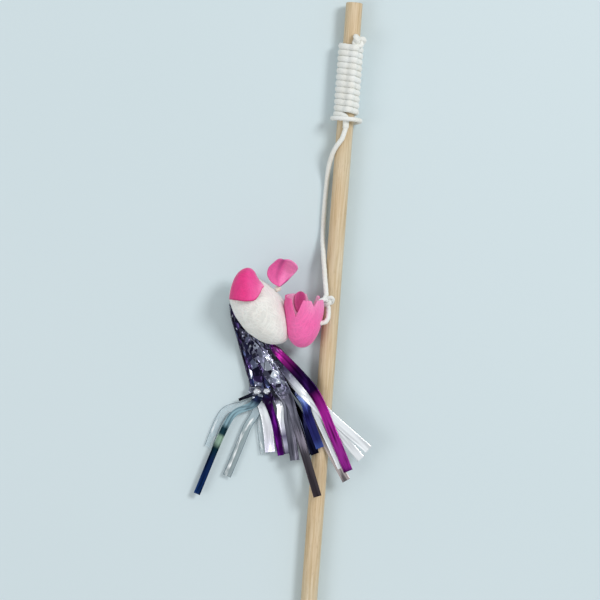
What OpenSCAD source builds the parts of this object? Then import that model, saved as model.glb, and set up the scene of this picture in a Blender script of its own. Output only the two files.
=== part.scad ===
/* [Dowel] */
// Diameter of the wooden dowel
rod_d = 6; // [5.5:0.5:7]
// Length of the dowel from its tip to the handle
shaft_l = 280; // [250:10:400]
// Bare handle at the lower end, where a grip or a clip goes on
handle_l = 120; // [80:5:150]
// Bevel round each sawn end
rod_bevel = 0.4; // [0.2:0.1:0.8]

/* [Cord] */
// Diameter of the cord
cord_d = 1.8; // [1.5:0.1:1.9]
// Play between the cord and what it lies round
cord_play = 0.1; // [0.1:0.05:0.2]
// Bare wood between the tip of the dowel and the winding
winding_y = 14.6; // [12:0.2:16]
// Whole turns of the winding
winding_turns = 11; // [6:1:11]
// Distance from turn to turn along the dowel
winding_pitch = 2.22; // [2.2:0.01:2.4]
// How far the locking turn lies from the tip of the dowel
lock_y = 42.8; // [42.8:0.1:44]
// Room that the locking turn leaves over the cord that it holds
lock_play = 0.4; // [0.3:0.1:0.8]
// Radius of each lobe of the knot that starts the winding
anchor_r = 1.6; // [1.3:0.1:1.8]
// Radius of the knot that ties the lure on
knot_r = 2; // [1.8:0.1:2.1]

/* [Cocoon] */
// Length of the silk cocoon
cocoon_l = 29; // [27:0.5:31]
// Diameter of the silk cocoon
cocoon_d = 18; // [17:0.5:19]
// Thickness of the cocoon's wall
silk_wall = 0.8; // [0.6:0.1:1]
// Clearance between two pieces of silk that are glued together
silk_gap = 0.2; // [0.15:0.05:0.3]
// How far the middle of the cocoon lies left of the dowel's axis
lure_x = 25.5; // [25.5:0.5:30]
// How far the middle of the cocoon lies below the tip of the dowel
lure_y = 114.4; // [112:0.2:118]
// Turn of the cocoon from square across the dowel
cocoon_turn = 46; // [40:1:50]

/* [Head cap] */
// Radius of the cap's rim
cap_r = 7; // [6.5:0.1:7.4]
// Height of the cap
cap_h = 11.6; // [10:0.2:13]
// Height of the cap's axis over the table, at its rim
cap_z = 12.1; // [11.5:0.1:12.6]
// Lean of the cap towards the top
cap_lean = 8; // [4:1:12]

/* [Top petal] */
// Length of the petal
petal_l = 10.2; // [9:0.2:11]
// Radius that the petal is dished to
petal_curve = 8.4; // [7.5:0.1:9.5]
// Height of the petal's lowest point over the cocoon's middle
petal_z = 1.4; // [1:0.1:3]
// Radius of the bead of glue at its foot
bead_r = 1.5; // [1.2:0.1:1.8]

/* [Tail cup] */
// Radius of the cup's mouth
cup_r = 7.2; // [6.8:0.1:7.4]
// Depth of the cup, from the tips of its petals
cup_depth = 18.8; // [18:0.2:19.4]
// Tilt of the mouth up from level
cup_tilt = 10; // [8:1:12]
// Height of the middle of the mouth over the table
cup_z = 12.6; // [12.4:0.1:13]
// How far the mouth's middle lies right of the cocoon's
cup_x = 15.6; // [15.6:0.1:16]
// How far the mouth's middle lies up from the cocoon's
cup_y = 6.2; // [5.8:0.1:6.4]
// Depth of the deepest notch between two petals
notch_l = 7.2; // [6.4:0.2:7.6]
// Width of that notch at the mouth
notch_w = 5; // [4.4:0.2:5.4]
// How far the inner petal stands out of the mouth
inner_rise = 0.9; // [0.5:0.1:2]
// Width of the inner petal
inner_w = 4.4; // [3.6:0.2:5]
// How far the inner petal reaches down into the cup
inner_l = 7; // [5:0.5:8]

/* [Streamers] */
// Width of the broadest foil streamer
foil_w = 3.4; // [3:0.1:3.6]
// Thickness of a streamer, with the air trapped in its crinkles
foil_t = 0.2; // [0.15:0.05:0.25]
// Distance from one layer of streamers to the next
layer_pitch = 0.5; // [0.45:0.05:0.6]
// How far the waist of the bundle lies below the cocoon's middle
waist_y = 28.6; // [27:0.2:30]
// How far the waist of the bundle lies right of the cocoon's middle
waist_x = 4.5; // [4:0.1:5]
// Length that the streamers hang below the waist
fan_l = 40; // [36:1:44]
// Height of the lowest streamer over the table
foil_z = 0.7; // [0.4:0.1:0.8]
// Room between the dowel and the streamers that cross it
foil_play = 0.5; // [0.4:0.1:0.8]
// Width of the foil band tied round the bundle
band_w = 2.6; // [2:0.1:3]
// Thickness of that band
band_t = 0.3; // [0.2:0.1:0.4]
// Radius of the bar of glue under the cocoon
glue_r = 0.9; // [0.8:0.1:1]

/* [Hidden] */
$fn = 48;

// One overrun serves all cuts
over = 1;
rod_l = shaft_l + handle_l;
rod_r = rod_d / 2;
cord_r = cord_d / 2;
cocoon_r = cocoon_d / 2;
// Distance of the cord's middle from the dowel's axis, where it lies on the wood
wound_r = rod_r + cord_play + cord_r;
// A tenth of the cord is flat where the winding rests on the table
flat_share = 0.1;
// Height of the dowel's axis over the table at the locking turn, and at the handle
lock_z = wound_r + cord_r - flat_share * cord_d;
handle_z = rod_r;
// The dowel lies on its handle's end and on the locking turn
rod_tilt = atan((lock_z - handle_z) / (rod_l - lock_y));
tip_z = lock_z + lock_y * tan(rod_tilt);
// The dowel lies right of the middle of the box that holds the whole toy
rod_x = 13.29;
tip_y = rod_l / 2;

// Places measured from the dowel's tip, on the table
module at_tip() { translate([rod_x, tip_y, 0]) children(); }
// Places measured along the tilted dowel
module on_rod() { translate([rod_x, tip_y, tip_z]) rotate([rod_tilt, 0, 0]) children(); }
// Places measured from the middle of the cocoon
module at_lure() { translate([rod_x - lure_x, tip_y - lure_y, 0]) children(); }

// Tubes swept along points
TUBE_SIDES = 8;
WOUND_SIDES = 6;
WOUND_RINGS = 24;
function unit(v) = v / norm(v);
function heading(p, i) = unit(p[min(i + 1, len(p) - 1)] - p[max(i - 1, 0)]);
function ring(centre, along, up, r, sides) =
    let (a = unit(cross(along, up)), b = cross(a, along))
    [for (k = [0 : sides - 1]) centre + r * (cos(360 * k / sides) * a + sin(360 * k / sides) * b)];
function skin(rings, sides) = [
    for (i = [0 : rings - 2]) for (k = [0 : sides - 1])
        let (n = (k + 1) % sides, a = i * sides, b = a + sides)
        each [[a + k, b + n, a + n], [a + k, b + k, b + n]]
];
function cap(first, sides, ahead) = [
    for (k = [1 : sides - 2]) ahead ? [first, first + k, first + k + 1] : [first, first + k + 1, first + k]
];

// A tube round the points, whose radius at each point is r times a share
module tube(points, ups, r, shares, sides) {
    count = len(points);
    polyhedron(
        [for (i = [0 : count - 1]) each ring(points[i], heading(points, i), ups[i], r * shares[i], sides)],
        concat(skin(count, sides), cap(0, sides, true), cap((count - 1) * sides, sides, false))
    );
}

// A cord that lies free, with a round end where it bends
round_shares = [0.02, 0.5, 0.87, 1];
function round_back(share) = sqrt(1 - share * share);
function round_start(points, r) = let (d = heading(points, 0)) concat(
    [for (s = round_shares) points[0] - r * round_back(s) * d],
    [for (i = [1 : len(points) - 1]) points[i]]
);
function start_shares(points) = concat(round_shares, [for (i = [1 : len(points) - 1]) 1]);
module free_cord(points, is_round) {
    path = is_round ? round_start(points, cord_r) : points;
    shares = is_round ? start_shares(points) : [for (p = points) 1];
    tube(path, [for (p = path) [0, 0, 1]], cord_r, shares, TUBE_SIDES);
}

// The winding: whole turns from the knot, then under the locking turn and out along the dowel
wind_from = 60;
wind_to = 115;
wind_count = winding_turns - (wind_to - wind_from) / 360;
wind_start_y = winding_y + cord_r;
function wound(a, y) = [wound_r * cos(a), -y, wound_r * sin(a)];
function wound_at(t) = wound(wind_from - 360 * t, wind_start_y + winding_pitch * t);
function wound_dir(t) = unit([
    wound_r * 2 * PI * sin(wind_from - 360 * t), -winding_pitch, -wound_r * 2 * PI * cos(wind_from - 360 * t)
]);
// The cord leaves the winding on top of the dowel
exit_x = 0.1 * cord_d;
exit_y = lock_y + 1.15 * cord_d;
turn_out = 1.5 * cord_d;
wind_end = wound_at(wind_count);
turn_y = lock_y - 0.1 * cord_d;
function mix(a, b, t) = a + (b - a) * t;
function bezier(a, b, c, d, t) = mix(
    mix(mix(a, b, t), mix(b, c, t), t), mix(mix(b, c, t), mix(c, d, t), t), t
);
function on_wood(p) = [p[0], p[1], sqrt(wound_r * wound_r - p[0] * p[0])];
bend_from = [wind_end[0], wind_end[1]];
bend_dir = wound_dir(wind_count);
bend_steps = 7;
wind_points = concat(
    [wound_at(0) - cord_d * wound_dir(0)],
    [for (i = [0 : floor(wind_count * WOUND_RINGS)]) wound_at(i / WOUND_RINGS)],
    [for (i = [1 : bend_steps]) on_wood(bezier(
        bend_from, bend_from + turn_out / 2 * [bend_dir[0], bend_dir[1]],
        [exit_x, -turn_y + turn_out / 2], [exit_x, -turn_y], i / bend_steps
    ))],
    [on_wood([exit_x, -exit_y])]
);
wind_ups = [for (p = wind_points) unit([p[0], 0, p[2]])];
module cord_winding() color("#eef0ea") difference() {
    on_rod() tube(wind_points, wind_ups, cord_r, [for (p = wind_points) 1], WOUND_SIDES);
    under_table();
}

// The locking turn: one loose turn over the cord, whose ends lie side by side under the dowel
lock_top = wound_r + cord_d + lock_play;
lock_r = (lock_top + wound_r) / 2;
lock_up = (lock_top - wound_r) / 2;
lock_pitch = cord_d + 0.25 * cord_d;
lock_from = -70;
lock_side = 0.15 * cord_d;
function lock_at(t) = let (a = lock_from - 360 * t)
    [lock_side + lock_r * cos(a), -lock_y - lock_pitch * (t - 0.5), lock_up + lock_r * sin(a)];
lock_points = concat(
    [lock_at(0) - cord_d * unit(lock_at(1 / WOUND_RINGS) - lock_at(0))],
    [for (i = [0 : WOUND_RINGS]) lock_at(i / WOUND_RINGS)],
    [lock_at(1) + cord_d * unit(lock_at(1) - lock_at(1 - 1 / WOUND_RINGS))]
);
lock_ups = [for (p = lock_points) unit([p[0] - lock_side, 0, p[2] - lock_up])];
module locking_turn() color("#e6e9e6") difference() {
    on_rod() tube(lock_points, lock_ups, cord_r, [for (p = lock_points) 1], WOUND_SIDES);
    under_table();
}

// The least gap between a wound cord's turns, measured from point to point
near_rings = WOUND_RINGS / 2;
function least_gap(p) = min([
    for (i = [0 : len(p) - 1]) for (j = [i + near_rings : 1 : len(p) - 1]) norm(p[i] - p[j])
]) - cord_d;
echo(winding_gap = least_gap(wind_points), locking_turn_gap = least_gap(lock_points));

module under_table() {
    translate([-rod_l, -rod_l, -rod_l]) cube([2 * rod_l, 2 * rod_l, rod_l]);
}

// The dowel, bevelled round both sawn ends
module rod() color("#cbb391") on_rod() rotate([90, 0, 0]) rotate_extrude() polygon([
    [0, 0], [rod_r - rod_bevel, 0], [rod_r, rod_bevel],
    [rod_r, rod_l - rod_bevel], [rod_r - rod_bevel, rod_l], [0, rod_l]
]);

// The knot that starts the winding has two lobes, which lie on the dowel
lobe_r = rod_r + cord_play + anchor_r;
lobe_step = 0.6 * anchor_r;
function lobe_at(a, y) = [lobe_r * cos(a), -y, lobe_r * sin(a)];
lobe_turn = 71;
next_turn = 38;
lobe_first = lobe_at(lobe_turn, winding_y - lobe_step);
lobe_apart = lobe_at(next_turn, winding_y) - lobe_first;
module anchor_knot() color("#f0f1ec") on_rod() translate(lobe_first)
    rotate([0, acos(lobe_apart[2] / norm(lobe_apart)), atan2(lobe_apart[1], lobe_apart[0])]) {
        sphere(anchor_r);
        translate([0, 0, norm(lobe_apart)]) sphere(anchor_r);
    }

// The free cord's route, from the tip of the dowel: across its top, down its left side and up again
lead_points = [[0.2, -46, 8.7], [-0.1, -47.5, 8.7], [-0.5, -48.9, 8.65]];
run_points = [
    [-0.8, -49.9, 8.6], [-1.7, -51.4, 8.3], [-2.7, -53, 7.7], [-3.6, -55, 6.6], [-4.3, -57.5, 5.2],
    [-4.8, -60.5, 3.6], [-5, -64, 2.1], [-5.1, -68, 1.2], [-5.2, -73, 1], [-5.2, -78, 1], [-5.1, -83, 1.1],
    [-4.9, -87.5, 2.2], [-4.5, -91, 4], [-4.1, -94.4, 5.7], [-3.5, -98, 6.9], [-3, -101.6, 7.7],
    [-2.5, -104.8, 8.4], [-2.2, -106.9, 8.9]
];
// The loop goes from the knot through the cup's wall and back over its rim
loop_points = [
    [-1.4, -110.2, 10.2], [-1, -112, 11], [-0.9, -114, 12], [-1.1, -115.7, 12.7], [-2, -116.9, 12.9],
    [-4.3, -117.4, 12.8], [-5.5, -116.6, 12.9], [-5.9, -115, 13.4], [-5.8, -113.2, 14.2], [-5.3, -111.4, 14.4],
    [-4.5, -109.8, 13.5], [-3.5, -108.9, 12.4], [-2.6, -108.7, 10.8]
];
knot_at = [-1.4, -109, 9.8];
module cord_lead() color("#edefe9") at_tip() free_cord(lead_points, true);
module cord_run() color("#edefe9") at_tip() free_cord(run_points, true);
module cord_loop() color("#f3f3ee") at_tip() free_cord(loop_points, false);
module tie_knot() color("#f6f5f0") at_tip() translate(knot_at) sphere(knot_r);

// Silk shells of revolution, from the middle of the mouth or of the oval towards the point
SHELL_STEPS = 10;
function shell_half(r, h, power) = [
    for (i = [0 : SHELL_STEPS]) let (s = sin(90 * i / SHELL_STEPS)) [r * sqrt(1 - pow(s, power)), h * s]
];
// The straight part before the mouth cuts it open, or lengthens the wall
module dome(r, h, power, before) {
    rotate_extrude() polygon(concat([[0, -before], [r, -before]], shell_half(r, h, power)));
}
module bowl(r, h, power, wall, before) {
    difference() {
        dome(r, h, power, before);
        dome(r - wall, h - wall, power, before + over);
    }
}
// A flat outline in the wall of a shell, at an angle round its axis
module on_wall(angle) {
    rotate([0, 0, angle]) rotate([90, 0, 90]) linear_extrude(cocoon_l) children();
}

// A place that lies a share of half the length along the cocoon, and out towards the streamers
along = [cos(cocoon_turn), -sin(cocoon_turn)];
function flank_at(share, out) = cocoon_l / 2 * share * along + out * [along[1], -along[0]];

// The cocoon: a closed hollow oval, pressed in where the cup is glued to it
module oval(grow) {
    half = shell_half(cocoon_r + grow, cocoon_l / 2 + grow, 2);
    translate([0, 0, cocoon_r]) rotate([0, 0, -cocoon_turn]) rotate([0, 90, 0])
        rotate_extrude() polygon(concat(
            half, [for (i = [SHELL_STEPS : -1 : 1]) [half[i][0], -half[i][1]]]
        ));
}
module cocoon_body() color("#e6e5dd") at_lure() difference() {
    oval(0);
    at_cup() dome(cup_r + silk_gap, cup_depth + silk_gap, cup_power, 0);
    difference() {
        oval(-silk_wall);
        at_cup() dome(cup_r + silk_gap + silk_wall, cup_depth + silk_gap + silk_wall, cup_power, 0);
    }
}

// The head cap: a pointed silk dome glued over the upper left end
cap_power = 1.7;
cap_x = 4.7;
cap_y = 3.5;
cap_turn = 6;
module head_cap() color("#f04b9c") at_lure() difference() {
    translate([-cap_x, cap_y, cap_z]) rotate([cap_lean - 90, 0, cap_turn])
        bowl(cap_r, cap_h, cap_power, silk_wall, 0);
    oval(silk_gap);
}

// The top petal: a dished scrap of silk, with its foot glued to the cocoon's flank
petal_shares = [[-.45, .52], [-.25, .88], [.15, 1], [.66, .79], [.54, .53], [.03, -.08], [-.34, .22]];
petal_foot = flank_at(-0.15, -cocoon_r - 0.6 * bead_r);
dish_shares = [.05, .35];
bead_z = cocoon_r + bead_r;
dish_z = cocoon_r + petal_z + petal_curve;
module top_petal() color("#f25aa6") at_lure() intersection() {
    translate([petal_foot[0], petal_foot[1], 0])
        linear_extrude(dish_z) polygon(petal_l * petal_shares);
    translate([petal_foot[0] + petal_l * dish_shares[0], petal_foot[1] + petal_l * dish_shares[1], dish_z])
        difference() {
            sphere(petal_curve);
            sphere(petal_curve - silk_wall);
        }
}
module petal_glue() color("#f4f1e8") at_lure() translate([petal_foot[0], petal_foot[1], bead_z]) sphere(bead_r);

// The tail cup: an open silk dome with petals round its mouth, and a hole for the cord
cup_power = 3;
notch_shares = [[-.5, -1], [.5, -1], [.5, 0], [.3, .45], [0, 1], [-.3, .45], [-.5, 0]];
// Each notch: its angle round the mouth, and its share of that width and depth
notch_places = [[-10, 1.7, 0.9], [60, 0.5, 0.3], [114, 1, 1], [178, 0.8, 0.55], [292, 0.9, 0.7]];
module at_cup() { translate([cup_x, cup_y, cup_z]) rotate([90 + cup_tilt, 0, 0]) children(); }
function scaled(shares, w, l) = [for (p = shares) [w * p[0], l * p[1]]];
// The hole follows the cord through the wall
hole_r = cord_r + 3 * cord_play;
hole_y = 117.2;
hole_z = 12.85;
module tail_cup() color("#ea4a98") difference() {
    at_lure() at_cup() difference() {
        bowl(cup_r, cup_depth, cup_power, silk_wall, 0);
        for (n = notch_places)
            on_wall(n[0]) polygon(scaled(notch_shares, n[1] * notch_w, n[2] * notch_l));
    }
    at_tip() translate([-cup_r, -hole_y, hole_z]) rotate([0, 90, 0]) cylinder(r = hole_r, h = 2 * cup_r);
}

// The inner petal lines the wall and stands out of the mouth
inner_angle = 253;
inner_shares = [[0, -1], [.32, -.45], [.5, .2], [.42, .6], [0, 1], [-.42, .6], [-.5, .2], [-.32, -.45]];
inner_share = inner_rise / inner_l;
module inner_petal() color("#d6307f") at_lure() at_cup() intersection() {
    bowl(cup_r - silk_wall - silk_gap, cup_depth - silk_wall - silk_gap, cup_power, silk_wall, inner_rise);
    on_wall(inner_angle) polygon([
        for (p = inner_shares) [inner_w * p[0], p[1] * (p[1] < 0 ? inner_rise : inner_l)]
    ]);
}

// The bar of glue that holds the streamers' roots under the cocoon
bar_out = 0.52 * cocoon_r;
bar_clear = 0.2;
bar_half = 6;
bar_at = flank_at(0, bar_out);
module streamer_glue() color("#efeadf") at_lure()
    translate([bar_at[0], bar_at[1], glue_r + bar_clear]) rotate([0, 0, -cocoon_turn]) rotate([0, 90, 0])
        translate([0, 0, -bar_half]) cylinder(r = glue_r, h = 2 * bar_half);

// Streamers: foil ribbons that run from the cocoon's flank over a waist, and over the dowel
STRIP_STEPS = 20;
root_share = 0.97;
// The strips are gathered narrower at their roots
root_narrow = 0.55;
ramp_l = 15.5;
ramp_play = 1.5;
ramp_to = lure_x - rod_r - ramp_play;
ramp_from = ramp_to - ramp_l;
rod_top = tip_z - (lure_y + waist_y) * tan(rod_tilt) + rod_r;
function ramp(t) = t * t * (3 - 2 * t);
function ground(x) = foil_z + (rod_top + foil_play - foil_z)
    * ramp(min(1, max(0, (x - ramp_from) / (ramp_to - ramp_from))));
function root_at(s) = flank_at(s, root_share * cocoon_r * sqrt(1 - s * s));
function fan_at(share) = [waist_x, -waist_y] + fan_l * share;
// A smooth curve through the points p
function through(p, t) = let (
    i = min(floor(t), len(p) - 2), f = t - i,
    a = p[max(i - 1, 0)], b = p[i], c = p[i + 1], d = p[min(i + 2, len(p) - 1)]
) (2 * b + (c - a) * f + (2 * a - 5 * b + 4 * c - d) * f * f + (3 * b - a - 3 * c + d) * f * f * f) / 2;
function gathered(i) = root_narrow + (1 - root_narrow) * min(1, i * 3 / STRIP_STEPS);
function strip_ring(p, side, w, layer) = let (
    l = p - side * w / 2, r = p + side * w / 2,
    lz = ground(l[0]) + layer * layer_pitch, rz = ground(r[0]) + layer * layer_pitch
) [[l[0], l[1], lz], [r[0], r[1], rz], [r[0], r[1], rz + foil_t], [l[0], l[1], lz + foil_t]];
module streamer(colour, root, waist, via, tip, w_share, layer) {
    knots = [root_at(root), fan_at(waist), fan_at(via), fan_at(tip)];
    middle = [for (i = [0 : STRIP_STEPS]) through(knots, i * (len(knots) - 1) / STRIP_STEPS)];
    color(colour) at_lure() polyhedron(
        [for (i = [0 : STRIP_STEPS]) let (d = heading(middle, i))
            each strip_ring(middle[i], [-d[1], d[0]], gathered(i) * w_share * foil_w, layer)],
        concat(skin(STRIP_STEPS + 1, 4), cap(0, 4, true), cap(STRIP_STEPS * 4, 4, false))
    );
}
module streamer_navy_long() streamer("#1d2361", -0.60, [-0.1, -0.05], [-0.3, -0.3], [-0.57, -1], 0.71, 5);
module streamer_gunmetal_long() streamer("#55525c", 0.12, [0.16, 0.01], [0.3, -0.33], [0.53, -0.93], 0.88, 5);
module streamer_magenta() streamer("#a4238f", 0.80, [0.41, 0.03], [0.62, -0.34], [0.79, -0.68], 1.00, 5);
module streamer_purple() streamer("#4b0a5c", -0.50, [-0.03, -0.05], [0.06, -0.28], [0.15, -0.59], 0.82, 4);
module streamer_gunmetal_wide() streamer("#6a6772", 0.15, [0.15, -0.01], [0.22, -0.28], [0.3, -0.62], 1.00, 4);
module streamer_silver_outer() streamer("#c9cbd2", 0.70, [0.35, 0.03], [0.59, -0.19], [0.96, -0.47], 0.94, 4);
module streamer_silver_wide() streamer("#d2d4da", -0.52, [-0.07, -0.05], [0.02, -0.3], [0.07, -0.57], 1.00, 3);
module streamer_silver_thin() streamer("#dcdde2", 0.05, [0.1, -0.03], [0.15, -0.29], [0.22, -0.57], 0.76, 3);
module streamer_silver_inner() streamer("#c3c5cd", 0.68, [0.33, 0.01], [0.57, -0.23], [0.9, -0.56], 0.88, 3);
module streamer_grey_clear() streamer("#b9bcc8", -0.55, [-0.09, -0.07], [-0.17, -0.39], [-0.31, -0.82], 0.88, 2);
module streamer_slate() streamer("#7c8090", 0.10, [0.14, -0.01], [0.28, -0.25], [0.4, -0.56], 0.88, 2);
module streamer_navy() streamer("#232a66", 0.66, [0.3, 0], [0.4, -0.23], [0.52, -0.49], 0.88, 2);
module streamer_clear() streamer("#d8dae6", -0.48, [-0.06, -0.07], [-0.03, -0.33], [0.02, -0.59], 0.94, 1);
module streamer_blue_black() streamer("#23243f", 0.12, [0.16, -0.01], [0.33, -0.24], [0.48, -0.55], 0.88, 1);
module streamer_white_thin() streamer("#eceef2", 0.68, [0.34, -0.01], [0.51, -0.28], [0.72, -0.66], 0.65, 1);
module streamer_clear_arc() streamer("#dfe1ea", -0.62, [-0.12, -0.04], [-0.38, -0.24], [-0.5, -0.57], 0.88, 0);
module streamer_brown_black() streamer("#2f2629", 0.08, [0.11, -0.03], [0.26, -0.3], [0.42, -0.57], 0.76, 0);
module streamer_brown_grey() streamer("#8d8078", 0.66, [0.3, -0.01], [0.5, -0.33], [0.78, -0.77], 0.88, 0);

// The band: a loop of foil round the left-hand streamers at their waist
band_x = 1.4;
band_y = 30.6;
band_wide = 7;
band_clear = 0.15;
layers = 6;
module streamer_band() color("#c7c9d2") at_lure() translate([band_x, -band_y, 0]) difference() {
    band_high = (layers - 1) * layer_pitch + foil_t + 2 * band_clear;
    low = foil_z - band_clear;
    translate([-band_wide / 2 - band_t, 0, low - band_t])
        cube([band_wide + 2 * band_t, band_w, band_high + 2 * band_t]);
    translate([-band_wide / 2, -over, low]) cube([band_wide, band_w + 2 * over, band_high]);
}

rod();
anchor_knot();
cord_winding();
locking_turn();
cord_lead();
cord_run();
tie_knot();
cord_loop();
cocoon_body();
head_cap();
top_petal();
petal_glue();
tail_cup();
inner_petal();
streamer_glue();
streamer_band();
streamer_navy_long();
streamer_gunmetal_long();
streamer_magenta();
streamer_purple();
streamer_gunmetal_wide();
streamer_silver_outer();
streamer_silver_wide();
streamer_silver_thin();
streamer_silver_inner();
streamer_grey_clear();
streamer_slate();
streamer_navy();
streamer_clear();
streamer_blue_black();
streamer_white_thin();
streamer_clear_arc();
streamer_brown_black();
streamer_brown_grey();
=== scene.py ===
import math

import bmesh
import bpy
from mathutils import Matrix, Vector, noise


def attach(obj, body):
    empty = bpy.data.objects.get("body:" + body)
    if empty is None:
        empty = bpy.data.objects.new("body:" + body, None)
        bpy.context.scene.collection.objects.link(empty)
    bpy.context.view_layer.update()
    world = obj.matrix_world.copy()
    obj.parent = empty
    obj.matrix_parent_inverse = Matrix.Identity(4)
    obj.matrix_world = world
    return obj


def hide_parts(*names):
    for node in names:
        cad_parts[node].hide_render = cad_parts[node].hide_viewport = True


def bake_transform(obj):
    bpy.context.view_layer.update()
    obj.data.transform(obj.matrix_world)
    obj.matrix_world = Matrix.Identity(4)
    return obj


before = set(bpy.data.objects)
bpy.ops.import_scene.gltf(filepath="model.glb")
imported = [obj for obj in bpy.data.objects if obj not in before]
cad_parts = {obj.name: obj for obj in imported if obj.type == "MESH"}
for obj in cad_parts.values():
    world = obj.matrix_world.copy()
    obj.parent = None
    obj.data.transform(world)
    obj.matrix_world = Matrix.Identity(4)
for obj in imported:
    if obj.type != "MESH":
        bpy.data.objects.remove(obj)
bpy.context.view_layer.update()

MM = 0.001


def new_object(name, data):
    made = bpy.data.objects.new(name, data)
    bpy.context.collection.objects.link(made)
    return made


# Camera

def make_camera():
    """Straight down on the toy, rolled a little, as in the photograph."""
    view_wide, view_high = 0.2182, 1.1
    middle = (0.00172, 0.09045, 0.008)
    roll = math.radians(4.353)
    sensor_wide = 36
    data = bpy.data.cameras.new("camera")
    data.sensor_width = sensor_wide
    data.lens = sensor_wide * view_high / view_wide
    data.clip_start, data.clip_end = 0.05, 20
    camera = new_object("camera", data)
    camera.location = Vector(middle) + Vector((0, 0, view_high))
    camera.rotation_euler = (0, 0, roll)
    bpy.context.scene.camera = camera


make_camera()


# Nodes of the materials

def linear(code):
    """A colour written as sRGB hex, turned to the linear values that Blender mixes."""
    parts = [int(code[i:i + 2], 16) / 255 for i in (1, 3, 5)]
    return tuple(c / 12.92 if c <= 0.04045 else ((c + 0.055) / 1.055) ** 2.4 for c in parts) + (1,)


def socket_of(source):
    """The first output of a node, or the output itself."""
    return source.outputs[0] if isinstance(source, bpy.types.Node) else source


def add(tree, kind, values=None, links=None, stops=None, **settings):
    """Adds one node, with its settings, its sockets' values and what is linked to them.

    A colour ramp's stops are given as (place, hex).
    """
    made = tree.nodes.new("ShaderNode" + kind)
    for name, value in settings.items():
        setattr(made, name, value)
    for socket, value in (values or {}).items():
        made.inputs[socket].default_value = value
    for socket, source in (links or {}).items():
        tree.links.new(socket_of(source), made.inputs[socket])
    if stops:
        points = made.color_ramp.elements
        while len(points) < len(stops):
            points.new(0.5)
        for point, (place, code) in zip(points, stops):
            point.position, point.color = place, linear(code)
    return made


def new_material(name, values):
    """A material with only its Principled shader, whose unlinked sockets are set here."""
    material = bpy.data.materials.new(name)
    material.use_nodes = True
    shader = material.node_tree.nodes["Principled BSDF"]
    for socket, value in values.items():
        shader.inputs[socket].default_value = value
    return material, material.node_tree


def dress(tree, colour, *reliefs):
    """Links the shader's colour, and its bumps, each with its height and its depth in millimetres."""
    shader = tree.nodes["Principled BSDF"]
    tree.links.new(socket_of(colour), shader.inputs["Base Color"])
    links = {}
    for height, depth in reliefs:
        links["Height"] = height
        bump = add(tree, "Bump", {"Strength": 1, "Distance": depth * MM}, links)
        links["Normal"] = bump
        tree.links.new(socket_of(bump), shader.inputs["Normal"])


def pattern(tree, *grain, detail=3.0, distortion=0.0):
    """Noise on the object's own coordinates, with a grain of that size in millimetres."""
    place = add(tree, "TexCoord").outputs["Object"]
    scaled = add(tree, "Mapping", {"Scale": [1 / MM / size for size in grain]}, {"Vector": place})
    return add(tree, "TexNoise", {"Scale": 1, "Detail": detail, "Distortion": distortion}, {"Vector": scaled})


# Materials

def birch_dowel_sanded():
    # Birch, turned and sanded: pale straw wood with fine long grain, short dark pores, hardly any gloss.
    # The grain is 0.55 mm wide, the pores 0.16 mm, and the paler patches 14 mm
    material, tree = new_material("birch_dowel_sanded", {"Roughness": 0.55, "IOR": 1.5})
    grain = pattern(tree, 0.55, 16, 0.55, detail=6)
    pores = pattern(tree, 0.16, 3.2, 0.16, detail=2)
    patches = pattern(tree, 14, 45, 14, detail=2)
    body = add(tree, "ValToRGB", {}, {"Fac": grain}, [(0.3, "#c8b594"), (0.48, "#d7c7ab"), (0.68, "#e5d9c4")])
    tone = add(tree, "ValToRGB", {}, {"Fac": patches}, [(0.35, "#f5e4cd"), (0.65, "#f6f3ea")])
    dots = add(tree, "ValToRGB", {}, {"Fac": pores}, [(0.30, "#a08660"), (0.38, "#ffffff")])
    wood = add(tree, "MixRGB", {"Fac": 1}, {"Color1": body, "Color2": tone}, blend_type="MULTIPLY")
    wood = add(tree, "MixRGB", {"Fac": 0.4}, {"Color1": wood, "Color2": dots}, blend_type="MULTIPLY")
    dress(tree, wood, (grain, 0.06), (pores, 0.03))
    return material


def cotton_cord_twisted():
    # Bleached cotton cord, twisted: matt white strands with fibres 0.14 mm thick, faintly soiled in patches
    material, tree = new_material("cotton_cord_twisted", {
        "Roughness": 0.85, "Sheen Weight": 0.25, "Sheen Roughness": 0.4, "Subsurface Weight": 0.08,
        "Subsurface Radius": (0.6 * MM, 0.6 * MM, 0.6 * MM),
    })
    fibre = pattern(tree, 0.14, 0.5, 0.14, detail=4, distortion=0.6)
    soil = pattern(tree, 6, 6, 6, detail=2)
    body = add(tree, "ValToRGB", {}, {"Fac": fibre}, [(0.3, "#e6e8e5"), (0.55, "#f4f6f4"), (0.75, "#fafbfa")])
    tone = add(tree, "ValToRGB", {}, {"Fac": soil}, [(0.3, "#f6f4ee"), (0.7, "#fcfdfd")])
    cotton = add(tree, "MixRGB", {"Fac": 1}, {"Color1": body, "Color2": tone}, blend_type="MULTIPLY")
    dress(tree, cotton, (fibre, 0.05))
    return material


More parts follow.
